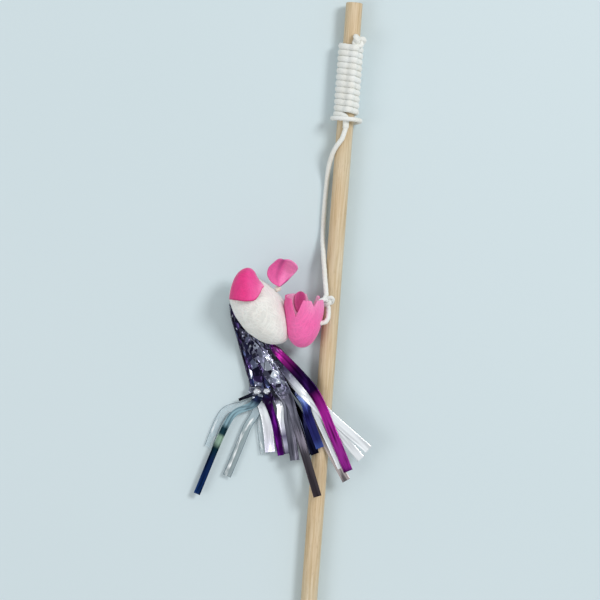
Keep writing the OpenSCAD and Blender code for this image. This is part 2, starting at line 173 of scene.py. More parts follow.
def silk_cocoon(name, *stops):
    """Cocoon silk coloured along the piece by a value that each piece gives, which holds the silk's dye and,
    on some pieces, painted shade and painted highlight: the stops run from the deepest colour to the palest.
    """
    # Raw cocoon silk, a sheet of glued filaments: soft and papery, a matt face with a faint silky sheen
    material, tree = new_material(name, {
        "Roughness": 0.62, "Sheen Weight": 0.3, "Sheen Roughness": 0.35, "Subsurface Weight": 0.12,
        "Subsurface Radius": (1.2 * MM, 0.8 * MM, 0.7 * MM),
    })
    dye_and_shade = add(tree, "Attribute", attribute_name="dye_and_shade").outputs["Fac"]
    cloud = pattern(tree, 2.6, 2.6, 2.6, detail=5)
    mottle = add(tree, "Math", {1: 0.22, 2: -0.11}, {0: cloud}, operation="MULTIPLY_ADD")
    depth = add(tree, "Math", {}, {0: dye_and_shade, 1: mottle}, operation="ADD")
    body = add(tree, "ValToRGB", {}, {"Fac": depth}, stops)
    # Four sets of filaments, each with a turn of its own, that stray 0.9 mm within 1.6 mm. They are drawn
    # 0.1 mm thick because the real ones are too fine to show
    stray, within, thin, long = 0.9 * MM, 1.6, 0.3 * MM, 5 * MM
    place = add(tree, "TexCoord").outputs["Object"]
    bent = add(tree, "TexNoise", {"Scale": 1 / MM / within, "Detail": 2}, {"Vector": place}).outputs["Color"]
    swirl = add(tree, "MixRGB", {"Fac": stray}, {"Color1": place, "Color2": bent}, blend_type="ADD")
    web = None
    for turn in ((0.4, 0.9, 0.2), (1.5, 0.3, 1.2), (2.5, 1.3, 2.2), (0.8, 2.1, 2.9)):
        lines = add(
            tree, "Mapping", {"Scale": (thin, long, long), "Rotation": turn}, {"Vector": swirl},
            vector_type="TEXTURE",
        )
        threads = add(tree, "TexNoise", {"Scale": 1, "Detail": 2}, {"Vector": lines})
        web = add(tree, "Math", {}, {0: web, 1: threads}, operation="MAXIMUM") if web else threads
    shade = add(tree, "ValToRGB", {}, {"Fac": web}, [(0.52, "#dadada"), (0.66, "#ffffff")])
    silk = add(tree, "MixRGB", {"Fac": 0.4}, {"Color1": body, "Color2": shade}, blend_type="MULTIPLY")
    dress(tree, silk, (cloud, 0.25), (web, 0.1))
    return material


def hot_glue():
    # Hot-melt glue set from a blob: waxy, milky and smooth, a little see-through
    material, tree = new_material("hot_glue", {
        "Roughness": 0.28, "IOR": 1.48, "Subsurface Weight": 0.5,
        "Subsurface Radius": (1.5 * MM, 1.4 * MM, 1.1 * MM),
    })
    cloud = pattern(tree, 0.8, 0.8, 0.8)
    body = add(tree, "ValToRGB", {}, {"Fac": cloud}, [(0.35, "#ece7da"), (0.65, "#f6f3ea")])
    dress(tree, body, (cloud, 0.06))
    return material


def strip_patterns(tree, streak_size, shards, crumple, seed):
    """What the films share, on their map in millimetres.

    It gives the place along the strip, long streaks where it bows across, the height and the colours of its
    facets, and how crumpled it is, which fades out between the two places in crumple. Each seed shifts the
    patterns to another place.
    """
    share = add(tree, "Attribute", attribute_name="dye_and_shade").outputs["Fac"]
    flow = add(tree, "UVMap", uv_map="flow")
    lines = add(
        tree, "Mapping", {"Scale": (*streak_size, 1), "Location": (seed * 3.7, 0, 0)}, {"Vector": flow},
        vector_type="TEXTURE",
    )
    streaks = add(tree, "TexNoise", {"Scale": 1, "Detail": 2}, {"Vector": lines})
    # Facets of film about 0.8 by 1.7 mm
    cells = add(
        tree, "Mapping", {"Scale": (0.8, 1.7, 1), "Location": (seed * 1.9, seed * 2.3, 0)}, {"Vector": flow},
        vector_type="TEXTURE",
    )
    facets = add(tree, "TexVoronoi", {"Scale": 1, "Randomness": 1}, {"Vector": cells})
    pick = add(tree, "SeparateColor", {}, {"Color": facets.outputs["Color"]})
    stops = [(i / (len(shards) - 1), shard) for i, shard in enumerate(shards)]
    broken = add(tree, "ValToRGB", {}, {"Fac": pick}, stops)
    crumpled = add(tree, "ValToRGB", {}, {"Fac": share}, [(crumple[0], "#ffffff"), (crumple[1], "#000000")])
    return share, streaks, facets.outputs["Distance"], broken, crumpled


def metallised_foil(name, along, shards, crumple, seed, mirror=1.0):
    """Film foil with its colours along the strip, and those of the shards that its crumpled start shows."""
    # Metallised polyester film, slit in ribbons: mirror-like, gathered into sharp facets, then hanging smooth
    material, tree = new_material(name, {"Metallic": mirror, "Roughness": 0.22})
    streak_size = (1.1, 17)
    share, streaks, facets, broken, crumpled = strip_patterns(tree, streak_size, shards, crumple, seed)
    body = add(tree, "ValToRGB", {}, {"Fac": share}, along)
    # Painted reflections: light and dark streaks along the film, multiplied into its colour, for what the
    # smooth mirror film reflects; less of them on film that is less of a mirror.
    shine = [(0.36, "#6c6c74"), (0.5, "#e2e2e6"), (0.64, "#ffffff")]
    shade = add(tree, "ValToRGB", {}, {"Fac": streaks}, shine)
    smooth = add(
        tree, "MixRGB", {"Fac": 0.9 * mirror ** 2}, {"Color1": body, "Color2": shade}, blend_type="MULTIPLY",
    )
    foil = add(tree, "MixRGB", {}, {"Fac": crumpled, "Color1": smooth, "Color2": broken})
    height = add(tree, "Math", {}, {0: facets, 1: crumpled}, operation="MULTIPLY")
    dress(tree, foil, (streaks, 0.12), (height, 0.5))
    return material


def clear_film(name, along, shards, crumple, seed, cover):
    """Clear film, seen by its painted dark edges, for the light bent at its slit edges, by its painted white
    glare and by the colours of the shards at its start.
    """
    # Clear iridescent polyester film, slit into ribbons: see-through and glossy, with a faint blue cast
    material, tree = new_material(name, {
        "Roughness": 0.12, "IOR": 1.6, "Coat Weight": 0.6, "Coat Roughness": 0.08,
    })
    streak_size = (1.4, 11)
    share, streaks, _, broken, crumpled = strip_patterns(tree, streak_size, shards, crumple, seed)
    side = add(tree, "Attribute", attribute_name="edge").outputs["Fac"]
    body = add(tree, "ValToRGB", {}, {"Fac": share}, along)
    glare = add(tree, "ValToRGB", {}, {"Fac": streaks}, [(0.54, "#000000"), (0.68, "#ffffff")])
    shiny = add(tree, "MixRGB", {"Color2": linear("#f7fbfd")}, {"Fac": glare, "Color1": body})
    # Painted shade at the slit edges, for the light that the film bends there
    slit = add(tree, "ValToRGB", {}, {"Fac": side}, [(0.82, "#000000"), (0.95, "#ffffff")])
    edged = add(tree, "MixRGB", {"Color2": linear("#3c5566")}, {"Fac": slit, "Color1": shiny})
    film = add(tree, "MixRGB", {}, {"Fac": crumpled, "Color1": edged, "Color2": broken})
    # See-through but for its glare, its edges and its crumpled part
    solid = add(tree, "Math", {}, {0: glare, 1: slit}, operation="MAXIMUM")
    solid = add(tree, "Math", {1: 0.5, 2: cover}, {0: solid}, operation="MULTIPLY_ADD")
    solid = add(tree, "Math", {}, {0: solid, 1: crumpled}, operation="MAXIMUM")
    tree.links.new(socket_of(solid), tree.nodes["Principled BSDF"].inputs["Alpha"])
    dress(tree, film, (streaks, 0.15))
    return material


# Places and main sizes, in millimetres

def turned(degrees, axis):
    return Matrix.Rotation(math.radians(degrees), 4, axis)


ROD_R, ROD_L = 3, 400
# The winding lifts the dowel's tip so far off the table, which tilts it so many degrees
ROD_LIFT, ROD_TILT = 1.926, 0.27589
CORD_R = 0.9
COCOON_R, COCOON_HALF = 9, 14.5
COCOON_TURN = -46

# AT_TIP and AT_LURE are on the table, ON_ROD on the dowel's axis, and the rest are on the lure
AT_TIP = Matrix.Translation((13.29, 200, 0))
ON_ROD = AT_TIP @ Matrix.Translation((0, 0, ROD_R + ROD_LIFT)) @ turned(ROD_TILT, "X")
AT_LURE = Matrix.Translation((-12.21, 85.6, 0))
AT_CUP = Matrix.Translation((15.6, 6.2, 12.6)) @ turned(100, "X")
AT_CAP = Matrix.Translation((-4.7, 3.5, 12.1)) @ turned(6, "Z") @ turned(-82, "X")
AT_COCOON = Matrix.Translation((0, 0, COCOON_R)) @ turned(COCOON_TURN, "Z")
ALONG = turned(COCOON_TURN, "Z") @ Vector((1, 0, 0))
ACROSS = Vector((ALONG.y, -ALONG.x, 0))


def flank(share, out, z):
    """A place that lies a share of half the length along the cocoon, and out towards the streamers."""
    return COCOON_HALF * share * ALONG + out * ACROSS + Vector((0, 0, z))


def smooth_step(low, high, x):
    t = min(1, max(0, (x - low) / (high - low)))
    return t * t * (3 - 2 * t)


def through(points, t):
    """A smooth curve through the points, whose parameter counts them."""
    i = min(int(t), len(points) - 2)
    f = t - i
    a, b, c, d = (points[min(max(k, 0), len(points) - 1)] for k in (i - 1, i, i + 1, i + 2))
    return (2 * b + (c - a) * f + (2 * a - 5 * b + 4 * c - d) * f * f + (3 * b - a - 3 * c + d) * f ** 3) / 2


def even(points, step, parts=24):
    """Points a step apart along the smooth curve through the given points, measured in short parts."""
    fine = [through(points, i / parts) for i in range(parts * (len(points) - 1) + 1)]
    marks = lengths(fine)
    count = max(2, round(marks[-1] / step))
    made, k = [], 0
    for i in range(count + 1):
        want = marks[-1] * i / count
        while k < len(marks) - 2 and marks[k + 1] < want:
            k += 1
        share = (want - marks[k]) / max(marks[k + 1] - marks[k], 1e-9)
        made.append(fine[k].lerp(fine[k + 1], min(1, share)))
    return made


def lengths(path):
    """How far along the path each of its points is."""
    marks = [0]
    for a, b in zip(path, path[1:]):
        marks.append(marks[-1] + (b - a).length)
    return marks


NOISE_SHIFT = (7.3, 3.1, 5.7)


def wander(point, size, seed=0):
    """Smooth noise from -1 to 1 with a grain of that size."""
    return noise.noise(Vector(point) / size + Vector([shift * seed for shift in NOISE_SHIFT]))


# How the pieces are made

def finished(name, mesh, body, material, slot, *nodes, thick=0, inside=None):
    """Makes the bmesh, in millimetres, a piece on its body, with its finish and the nodes it replaces."""
    bmesh.ops.scale(mesh, vec=(MM, MM, MM), verts=mesh.verts)
    data = bpy.data.meshes.new(name)
    mesh.to_mesh(data)
    mesh.free()
    data.shade_smooth()
    piece = new_object(name, data)
    data.materials.append(material)
    if thick:
        wall = piece.modifiers.new("wall", "SOLIDIFY")
        wall.thickness, wall.offset, wall.use_even_offset = thick * MM, 1, False
        if inside:
            data.materials.append(inside)
            wall.material_offset = 1
    if body:
        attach(piece, body)
    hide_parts(*nodes)
    return piece


def sections(path, up=None):
    """A matrix at each point of the path: z along it, and x kept from twisting, or set across up."""
    made, side = [], None
    for i, point in enumerate(path):
        ahead = (path[min(i + 1, len(path) - 1)] - path[max(i - 1, 0)]).normalized()
        if up:
            side = up(point).cross(ahead).normalized()
        elif side is None:
            side = ahead.orthogonal().normalized()
        side = (side - ahead * side.dot(ahead)).normalized()
        turn = Matrix((side, ahead.cross(side), ahead)).transposed().to_4x4()
        made.append(Matrix.Translation(point) @ turn)
    return made


def strand_tube(path, radius, sides=15, lay=5.5, groove=0.14, up=None, flat=(1, 1), taper=1.2):
    """A twisted cord along the path: three strands that turn once in each lay, with round closed ends.

    The groove between strands and the flat size are shares of the radius, and taper is a round end's length.
    """
    strands, narrowest, over_table = 3, 0.12, 0.02
    mesh = bmesh.new()
    ring = bmesh.ops.create_circle(mesh, segments=sides, radius=1)["verts"]
    for v in ring:
        turn = math.atan2(v.co.y, v.co.x)
        v.co *= 1 - groove * (1 - abs(math.cos(strands * turn / 2)))
    marks = lengths(path)
    grown = []
    for place, mark in zip(sections(path, up), marks):
        end = min(mark, marks[-1] - mark) / taper if taper else 1
        share = 1 if end >= 1 else max(narrowest, math.sqrt(1 - (1 - end) ** 2))
        size = Matrix.Diagonal((radius * flat[0] * share, radius * flat[1] * share, 1, 1))
        grown.append(place @ size @ Matrix.Rotation(-math.tau * mark / lay, 4, "Z"))
    bmesh.ops.transform(mesh, matrix=grown[0], verts=ring)
    edges = list({e for v in ring for e in v.link_edges})
    for before, after in zip(grown, grown[1:]):
        made = bmesh.ops.extrude_edge_only(mesh, edges=edges)["geom"]
        fresh = [g for g in made if isinstance(g, bmesh.types.BMVert)]
        edges = [g for g in made if isinstance(g, bmesh.types.BMEdge)]
        bmesh.ops.transform(mesh, matrix=after @ before.inverted(), verts=fresh)
    bmesh.ops.holes_fill(mesh, edges=[e for e in mesh.edges if e.is_boundary], sides=0)
    for v in mesh.verts:
        v.co.z = max(v.co.z, over_table)
    bmesh.ops.recalc_face_normals(mesh, faces=mesh.faces)
    return mesh


def spin_round(mesh, outline, axis, sectors):
    """Spins the outline once round the axis, and merges its points there."""
    line = [mesh.verts.new((x, y, 0)) for x, y in outline]
    edges = [mesh.edges.new(pair) for pair in zip(line, line[1:])]
    bmesh.ops.spin(
        mesh, geom=line + edges, axis=axis, cent=(0, 0, 0), steps=sectors, angle=math.tau, use_merge=True,
    )
    bmesh.ops.remove_doubles(mesh, verts=mesh.verts, dist=1e-4)


def spun_sheet(shape, rings=40, sectors=96):
    """A sheet spun round, which shape(turn, share) places from its point, 0, to its rim, 1, with the value
    that sets its colour.
    """
    mesh = bmesh.new()
    dye_and_shade = mesh.verts.layers.float.new("dye_and_shade")
    spin_round(mesh, [(i / rings, 0) for i in range(rings + 1)], (0, 0, 1), sectors)
    for v in mesh.verts:
        v.co, v[dye_and_shade] = shape(math.atan2(v.co.y, v.co.x), v.co.xy.length)
    bmesh.ops.recalc_face_normals(mesh, faces=mesh.faces)
    # The sheet is open, so its faces are turned here to look away from its middle
    middle = sum((v.co for v in mesh.verts), Vector()) / len(mesh.verts)
    if sum(f.normal.dot(f.calc_center_median() - middle) for f in mesh.faces) < 0:
        bmesh.ops.reverse_faces(mesh, faces=mesh.faces)
    return mesh


def laid_sheet(shape, wide, long, size=(1, 1)):
    """A sheet that shape(side, share) places, from -1 to 1 across and 0 to 1 along, with the value that sets
    its colour.

    It is cut into so many parts each way. Its map called flow is in millimetres, for a sheet of that size.
    """
    mesh = bmesh.new()
    dye_and_shade = mesh.verts.layers.float.new("dye_and_shade")
    edge = mesh.verts.layers.float.new("edge")
    flow = mesh.loops.layers.uv.new("flow")
    bmesh.ops.create_grid(mesh, x_segments=wide, y_segments=long, size=1)
    for face in mesh.faces:
        for corner in face.loops:
            corner[flow].uv = (corner.vert.co.x * size[0] / 2, (corner.vert.co.y + 1) * size[1] / 2)
    for v in mesh.verts:
        v[edge] = abs(v.co.x)
        v.co, v[dye_and_shade] = shape(v.co.x, (v.co.y + 1) / 2)
    return mesh


WHITE_CORD = cotton_cord_twisted()
WOOD = birch_dowel_sanded()
GLUE = hot_glue()


# The free cord

LEAD = [(0.2, -46, 8.7), (-0.1, -47.5, 8.7), (-0.5, -48.9, 8.65)]
RUN = [
    (-0.8, -49.9, 8.6), (-1.7, -51.4, 8.3), (-2.7, -53, 7.7), (-3.6, -55, 6.6), (-4.3, -57.5, 5.2),
    (-4.8, -60.5, 3.6), (-5, -64, 2.1), (-5.1, -68, 1.2), (-5.2, -73, 1), (-5.2, -78, 1), (-5.1, -83, 1.1),
    (-4.9, -87.5, 2.2), (-4.5, -91, 4), (-4.1, -94.4, 5.7), (-3.5, -98, 6.9), (-3, -101.6, 7.7),
    (-2.5, -104.8, 8.4), (-2.2, -106.9, 8.9),
]
LOOP = [
    (-1.4, -110.2, 10.2), (-1, -112, 11), (-0.9, -114, 12), (-1.1, -115.7, 12.7), (-2, -116.9, 12.9),
    (-4.3, -117.4, 12.8), (-5.5, -116.6, 12.9), (-5.9, -115, 13.4), (-5.8, -113.2, 14.2),
    (-5.3, -111.4, 14.4), (-4.5, -109.8, 13.5), (-3.5, -108.9, 12.4), (-2.6, -108.7, 10.8),
]
LURE_KNOT = (-1.4, -109, 9.8)


def make_free_cord():
    step = 0.35
    # Points of the route between which the cord turns from its first body to the next
    route = even([AT_TIP @ Vector(p) for p in LEAD + RUN], step)
    # Round ends past both ends of the route: the first one turns like a ball inside the end of the winding,
    # and the last one lies inside the knot
    back, on = (route[0] - route[1]).normalized(), (route[-1] - route[-2]).normalized()
    rise = [CORD_R * math.cos(math.radians(angle)) for angle in range(0, 90, 18)]
    course = [route[0] + back * r for r in rise] + route + [route[-1] + on * r for r in reversed(rise)]
    tube = strand_tube(course, CORD_R, sides=18, groove=0.1, taper=CORD_R)
    piece = finished("free_cord", tube, None, WHITE_CORD, "cord", "cord_lead", "cord_run")
    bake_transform(piece)
    tied_r = 0.86
    tied = even([AT_TIP @ Vector(p) for p in LOOP], step)
    loop = finished("tied_loop", strand_tube(tied, tied_r), "lure", WHITE_CORD, "cord", "cord_loop")


make_free_cord()


# The dowel and its winding

def make_rod():
    """The dowel, with its ends bevelled and its roundness a little uneven."""
    rings, sectors, bevel = 80, 48, 0.4
    uneven, uneven_size = 0.006, 30
    corner = [(0, 0), (ROD_R - 0.35, 0), (ROD_R - 0.1, 0.12), (ROD_R, bevel)]
    side = [(ROD_R, bevel + (ROD_L - 2 * bevel) * i / rings) for i in range(1, rings)]
    far_corner = [(x, ROD_L - y) for x, y in reversed(corner)]
    mesh = bmesh.new()
    spin_round(mesh, corner + side + far_corner, (0, 1, 0), sectors)
    for v in mesh.verts:
        v.co.x *= 1 + uneven * wander(v.co, uneven_size, 1)
        v.co.z *= 1 + uneven * wander(v.co, uneven_size, 2)
        v.co = ON_ROD @ Vector((v.co.x, -v.co.y, v.co.z))
    bmesh.ops.recalc_face_normals(mesh, faces=mesh.faces)
    finished("dowel", mesh, "wand", WOOD, "wood", "rod")


def round_rod(r, angle, y):
    """A place round the dowel's axis, at an angle in degrees and so far from its tip."""
    return Vector((r * math.cos(math.radians(angle)), -y, r * math.sin(math.radians(angle))))


def wound(angle, y):
    """A place in the winding, which rises over the cord's own end, buried along the dowel under the turns."""
    buried_at = 73 + 5 * smooth_step(18, 34, y) + 8 * smooth_step(35, 42, y)
    over_rod, rise, rise_wide = 0.84, 1.75, 14
    bump = rise * math.exp(-(((angle - buried_at + 180) % 360 - 180) / rise_wide) ** 2)
    return round_rod(ROD_R + over_rod + bump * smooth_step(13.5, 16.5, y), angle, y)


def outwards(point):
    """Away from the dowel's axis, at a place on the toy."""
    local = ON_ROD.inverted() @ point
    return (ON_ROD.to_3x3() @ Vector((local.x, 0, local.z))).normalized()


def make_winding():
    turns, steps, pitch = 11.847, 48, 2.255
    start_angle, start_y, run_in = 60, 14.5, 3
    points = [
        wound(start_angle - 360 * i / steps, start_y + pitch * i / steps)
        for i in range(-run_in, int(turns * steps) + 1)
    ]
    # From the last turn the cord curves down along the dowel, under the holding turn
    last = points[-1]
    way = (last - points[-2]).normalized()
    a, b, c, d = last, last + way * 1.35, Vector((0.18, -41.9, 4.6)), Vector((0.18, -43.1, 4.05))
    bend_steps, least_r = 9, 3.9
    for i in range(1, bend_steps + 1):
        t = i / bend_steps
        p = a * (1 - t) ** 3 + 3 * b * t * (1 - t) ** 2 + 3 * c * t * t * (1 - t) + d * t ** 3
        r = max(least_r, Vector((p.x, 0, p.z)).length)
        p.z = math.sqrt(max(0.1, r * r - p.x * p.x))
        points.append(p)
    points += [Vector((0.18, -44.87, 4)), Vector((0.2, -45.97, 4.01))]
    path = even([ON_ROD @ p for p in points], 0.42)
    tube = strand_tube(path, 1, lay=6.5, groove=0.07, up=outwards, flat=(1.15, 0.86), taper=0)
    finished("wound_cord", tube, "wand", WHITE_CORD, "cord", "cord_winding")


def make_locking_turn():
    steps, r, end_l = 24, 5.1, 1.8
    middle = Vector((0.27, -42.65, 1.1))
    crossing = 2.25

    def lock(i):
        """Level over the top of the dowel, and crossing from side to side underneath."""
        t = i / steps
        a = math.radians(-70 - 360 * t)
        y = -crossing * math.copysign(abs(2 * t - 1) ** 3 / 2, t - 0.5)
        return middle + Vector((r * math.cos(a), y, r * math.sin(a)))

    points = [lock(i) for i in range(steps + 1)]
    points.insert(0, lock(0) - end_l * (lock(1) - lock(0)).normalized())
    points.append(lock(steps) + end_l * (lock(steps) - lock(steps - 1)).normalized())
    path = even([ON_ROD @ p for p in points], 0.4)
    finished("holding_turn", strand_tube(path, 0.85, up=outwards), "wand", WHITE_CORD, "cord", "locking_turn")


def knot_path(centre, long_way, flat_way, size, long=1.0, wide=1.0, deep=1.0):
    """A tight overhand knot, lying flat, as a closed course of cord."""
    steps, flatness = 96, 0.42
    x = long_way.normalized()
    z = (flat_way - x * flat_way.dot(x)).normalized()
    y = z.cross(x)
    made = []
    for i in range(steps + 1):
        t = math.tau * i / steps
        along = long * (math.sin(t) + 2 * math.sin(2 * t)) / 3
        across = wide * (math.cos(t) - 2 * math.cos(2 * t)) / 3
        made.append(centre + size * (along * x + across * y - deep * math.sin(3 * t) * flatness * z))
    return made


def make_anchor_knot():
    lobe_r = 4.7
    first, second = ON_ROD @ round_rod(lobe_r, 71, 13.64), ON_ROD @ round_rod(lobe_r, 38, 14.6)
    centre = (first + second) / 2
    path = knot_path(centre, second - first, outwards(centre), size=2.15, long=1.12, wide=0.86, deep=0.9)
    finished("starting_knot", strand_tube(path, 0.92, taper=0.2), "wand", WHITE_CORD, "cord", "anchor_knot")


make_rod()
make_winding()
make_locking_turn()
make_anchor_knot()


# The silk lure

CAP_R, CAP_H, CAP_FULLNESS = 6.4, 11.1, 1.7
CUP_R, CUP_H, CUP_FULLNESS = 6.6, 18.2, 3
# Between the outside of the cup and the dent that it makes in the cocoon
CUP_CLEARANCE = 0.75


def in_cocoon(p, grow):
    """Below 1 where a place, from the lure's middle, lies in the cocoon grown by that much."""
    q = AT_COCOON.inverted() @ p
    return math.sqrt((q.x / (COCOON_HALF + grow)) ** 2 + (q.y ** 2 + q.z ** 2) / (COCOON_R + grow) ** 2)


def out_of_cup(p):
    """Pushes a place out of the tail cup and its clearance, away from the cup's axis."""
    r, depth, behind_mouth = CUP_R + CUP_CLEARANCE, CUP_H + CUP_CLEARANCE, -3
    q = AT_CUP.inverted() @ p
    if q.z >= depth or q.z < behind_mouth:
        return p
    limit = r * math.sqrt(1 - (max(q.z, 0) / depth) ** CUP_FULLNESS)
    away = q.xy.length
    if away < limit:
        q.x, q.y = q.x * limit / away, q.y * limit / away
        return AT_CUP @ q
    return p


def make_cocoon():
    # The silk is sunk a little into the oval, and uneven by more or less than that
    sunk, coarse, fine = 0.12, 0.12, 0.05
    mesh = bmesh.new()
    dye_and_shade = mesh.verts.layers.float.new("dye_and_shade")
    bmesh.ops.create_uvsphere(mesh, u_segments=128, v_segments=80, radius=1, matrix=turned(90, "Y"))
    for v in mesh.verts:
        d = v.co.normalized()
        p = Vector((d.x * COCOON_HALF, d.y * COCOON_R, d.z * COCOON_R))
        out = Vector((d.x / COCOON_HALF, d.y / COCOON_R, d.z / COCOON_R)).normalized()
        p -= out * (sunk + coarse * wander(p, 4, 3) + fine * wander(p, 1.4, 4))
        v.co = out_of_cup(AT_COCOON @ p)
        v[dye_and_shade] = 0.5 + 0.5 * wander(p, 6, 5)
    bmesh.ops.smooth_vert(
        mesh, verts=mesh.verts, factor=0.4, use_axis_x=True, use_axis_y=True, use_axis_z=True,
    )
    bmesh.ops.recalc_face_normals(mesh, faces=mesh.faces)
    bmesh.ops.transform(mesh, matrix=AT_LURE, verts=mesh.verts)
    silk = silk_cocoon("silk_cocoon_ivory", (0.1, "#e6e6e0"), (0.5, "#f1f1ec"), (0.9, "#f8f8f4"))
    finished("cocoon", mesh, "lure", silk, "silk_ivory", "cocoon_body")


def dome(r, h, fullness, turn, share, low):
    """A place on a silk dome, from its point, 0, to its rim, 1, which is at the height low.

    A fullness of 2 makes it oval, and more makes it squarer.
    """
    z = low + (h - low) * math.sin(math.pi / 2 * (1 - share))
    wide = r * math.sqrt(max(0, 1 - (max(z, 0) / h) ** fullness))
    return Vector((wide * math.cos(turn), wide * math.sin(turn), z))


def round_rim(turn, grain, seed):
    """Smooth noise round a rim, which meets itself."""
    return wander((3 * math.cos(turn), 3 * math.sin(turn), 0), grain, seed)


def make_cap():
    rim_low, cut_high, rim_uneven = 0.5, 4.1, 0.35
    dent_deep, dent_at, dent_tall = 1.5, 8, 2.4
    lip_right, lip_front = 0.5, 0.3
    parts, over_cocoon, uneven = 40, 0.25, 0.1

    def rim(turn):
        """Height of the rim: level in front, and cut up in a curve on the right."""
        a = math.degrees(turn)
        cut = cut_high * smooth_step(-78, -32, a) * (1 - smooth_step(95, 150, a))
        return rim_low + cut + rim_uneven * round_rim(turn, 1.5, 6)

    def shaped(turn, share):
        """The dome with a dent on its right, and a lip that stands out on the right and in front."""
        p = dome(CAP_R, CAP_H, CAP_FULLNESS, turn, share, rim(turn))
        right = max(0, math.cos(turn + 0.45))
        lip = smooth_step(0.72, 1, share)
        p.x -= dent_deep * right * math.exp(-((p.z - dent_at) / dent_tall) ** 2)
        p.x += lip_right * right ** 3 * lip
        p.y -= lip_front * max(0, -math.sin(turn)) * lip
        return p

    def shape(turn, share):
        """The part of that form that lies outside the cocoon, with uneven silk and a colour value that is
        paler towards the right, palest on the right near the rim, and darker at the very rim.
        """
        reach = 1.0
        for i in range(12, parts + 1):
            if in_cocoon(AT_CAP @ shaped(turn, i / parts), over_cocoon) < 1:
                reach = (i - 1) / parts
                break
        p = shaped(turn, share * reach)
        p += uneven * wander(p, 2.4, 7) * p.normalized()
        pale = 0.12 + 0.35 * smooth_step(-2, 3, p.x)
        pale += 0.55 * smooth_step(2.5, 6.5, p.x) * smooth_step(10, 6, p.z)
        pale -= 0.7 * smooth_step(0.97, 1, share)
        return AT_LURE @ AT_CAP @ p, pale

    pink = silk_cocoon(
        "silk_cap_pink",
        (0, "#ce2a78"), (0.12, "#ec2f88"), (0.4, "#f2499c"), (0.7, "#fa80bb"), (1, "#fcb3d6"),
    )
    finished("cap", spun_sheet(shape), "lure", pink, "silk_pink", "head_cap", thick=0.6)


def make_cup():
    # Each cut in the rim: its angle round the mouth, and its share of the full width and depth
    cuts = [(-10, 1.7, 0.9), (60, 0.5, 0.3), (114, 1, 0.88), (178, 0.8, 0.55), (292, 0.9, 0.7)]
    cut_wide, cut_deep, mouth_r = 5, 7.2, 7.2
    rim_uneven, flare, uneven = 0.2, 0.02, 0.01

    def cut_depth(turn):
        """How deep the rim is cut here: each cut is a notch whose sides bend half way up."""
        deepest = 0
        for angle, wide, deep in cuts:
            apart = abs((math.degrees(turn) - angle + 180) % 360 - 180)
            off = math.radians(apart) * mouth_r / (cut_wide * wide)
            if off < 0.5:
                side = 1 - 0.55 * off / 0.3 if off < 0.3 else 0.45 * (0.5 - off) / 0.2
                deepest = max(deepest, cut_deep * deep * side)
        return deepest

    def shape(turn, share):
        dip = cut_depth(turn) + rim_uneven * (1 + round_rim(turn, 2, 8))
        p = dome(CUP_R, CUP_H, CUP_FULLNESS, turn, share, dip)
        grow = 1 + flare * smooth_step(0.75, 1, share) + uneven * wander(p, 3, 9)
        p.x, p.y = p.x * grow, p.y * grow
        # Painted shade: the left side, away from the lamp, is coloured darker. Painted highlight: the right
        # side near the mouth is coloured paler, for the glare there, inside and out.
        left = smooth_step(2.5, 7, -p.x)
        pale = 0.3 * smooth_step(9, 1, p.z) * smooth_step(-3, 3, p.x)
        return AT_LURE @ AT_CUP @ p, 0.42 - 0.3 * left + pale

    outside = silk_cocoon("silk_cup_pink", (0, "#d8468f"), (0.3, "#ff66b1"), (0.6, "#ff7dbe"), (1, "#ffb4d8"))
    within = silk_cocoon("silk_cup_pale_pink", (0, "#f590c2"), (0.5, "#fbb6d8"), (1, "#fdd3e7"))
    mesh = spun_sheet(shape, rings=44, sectors=240)
    finished("cup", mesh, "lure", outside, "silk_pink", "tail_cup", thick=0.6, inside=within)


def make_inner_petal():
    """A petal that stands in the cup, against its wall."""
    half_wide, tall, foot = 2.2, 7.9, -0.9
    middle = math.radians(253)
    wall_r, wall_h = CUP_R - 0.7, CUP_H - 0.4

    def shape(side, share):
        wide = half_wide * max(0.02, math.sin(math.pi * share ** 0.7)) ** 0.6
        z = foot + tall * share
        turn = middle + side * wide / 6
        r = wall_r * math.sqrt(max(0, 1 - (max(z, 0) / wall_h) ** CUP_FULLNESS))
        r -= 0.3 * (1 - side * side) * (1 - share)
        p = Vector((r * math.cos(turn), r * math.sin(turn), z))
        return AT_LURE @ AT_CUP @ p, 0.2 + 0.5 * abs(side) ** 3

    # Painted shade: the petal is coloured in darker pinks than the cup, for the shade inside the cup where it
    # stands, and paler towards its edges.
    deep = silk_cocoon("silk_inner_petal", (0, "#b93278"), (0.4, "#d24a8f"), (1, "#ef84b9"))
    mesh = laid_sheet(shape, 14, 30)
    finished("petal_in_cup", mesh, "lure", deep, "silk_dark_pink", "inner_petal", thick=0.4)


